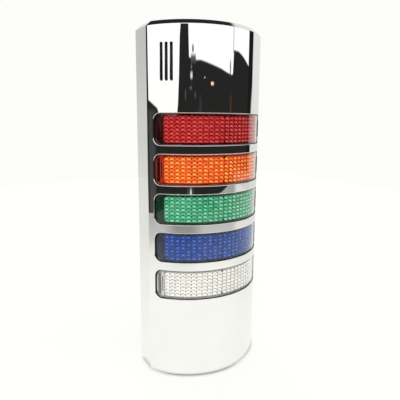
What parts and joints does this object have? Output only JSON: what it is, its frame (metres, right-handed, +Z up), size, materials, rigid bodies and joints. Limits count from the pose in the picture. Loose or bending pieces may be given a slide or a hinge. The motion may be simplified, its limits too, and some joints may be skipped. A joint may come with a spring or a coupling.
{
  "type": "stack light",
  "caption": "Slim wall-mounted signal light: chrome curved cover, wraparound colour lenses stacked in tiers, upright sound slots, flat back.",
  "frame": {"origin": "middle of the bottom end, half way between the wall plane and the crown of the front", "axes": "+Z up along the stack, +Y into the wall, +X to the right seen from the front, so the curved front faces -Y"},
  "size_m": [0.08, 0.039, 0.215],
  "materials": {
    "chrome_cover": "bright mirror plating over a moulded shell",
    "base_plastic": "fine satin moulding",
    "lens_red": "clear tinted, prisms moulded on the back",
    "lens_amber": "clear tinted, prisms moulded on the back",
    "lens_green": "clear tinted, prisms moulded on the back",
    "lens_blue": "clear tinted, prisms moulded on the back",
    "lens_clear": "clear, prisms moulded on the back",
    "frame_white": "white reflective moulding",
    "board_green": "solder-masked laminate",
    "sounder_black": "satin black case",
    "screen_mesh": "fine woven dust screen",
    "terminal_plastic": "moulded nylon",
    "plated_steel": "zinc plated",
    "trimmer_blue": "moulded case",
    "rotor_white": "moulded rotor",
    "switch_red": "moulded case",
    "slider_white": "moulded slider",
    "can_aluminium": "drawn cans",
    "chip_black": "moulded package",
    "resistor_black": "film on ceramic",
    "seal_rubber": "closed-cell strip",
    "led_red": "moulded emitter package",
    "led_amber": "moulded emitter package",
    "led_green": "moulded emitter package",
    "led_blue": "moulded emitter package",
    "led_clear": "moulded emitter package"
  },
  "bodies": {
    "housing": {"front_cover": "chrome_cover", "rear_base": "base_plastic", "lens_red": "lens_red", "lens_amber": "lens_amber", "lens_green": "lens_green", "lens_blue": "lens_blue", "lens_clear": "lens_clear", "light_frame": "frame_white", "main_board": "board_green", "buzzer": "sounder_black", "slot_screen": "screen_mesh", "terminal_block": "terminal_plastic", "terminal_screws": "plated_steel", "trimmer_body": "trimmer_blue", "switch_body": "switch_red", "capacitors": "can_aluminium", "driver_chips": "chip_black", "resistors": "resistor_black", "cover_gasket": "seal_rubber", "wall_gasket": "seal_rubber", "cable_bushing": "seal_rubber", "cover_screws": "plated_steel", "board_screws": "plated_steel", "leds_red": "led_red", "leds_amber": "led_amber", "leds_green": "led_green", "leds_blue": "led_blue", "leds_clear": "led_clear"},
    "volume_rotor": {"trimmer_rotor": "rotor_white"},
    "mode_slider_1": {"switch_slider_1": "slider_white"},
    "mode_slider_2": {"switch_slider_2": "slider_white"}
  },
  "joints": [
    {"name": "volume_turn", "type": "hinge", "parent": "housing", "child": "volume_rotor", "pos_m": [0.024, 0, 0.188], "axis": [0, -1, 0], "range_deg": [-135, 135]},
    {"name": "mode_slide_1", "type": "slide", "parent": "housing", "child": "mode_slider_1", "axis": [0, 0, 1], "range_m": [0, 0.0016]},
    {"name": "mode_slide_2", "type": "slide", "parent": "housing", "child": "mode_slider_2", "axis": [0, 0, 1], "range_m": [0, 0.0016]}
  ]
}
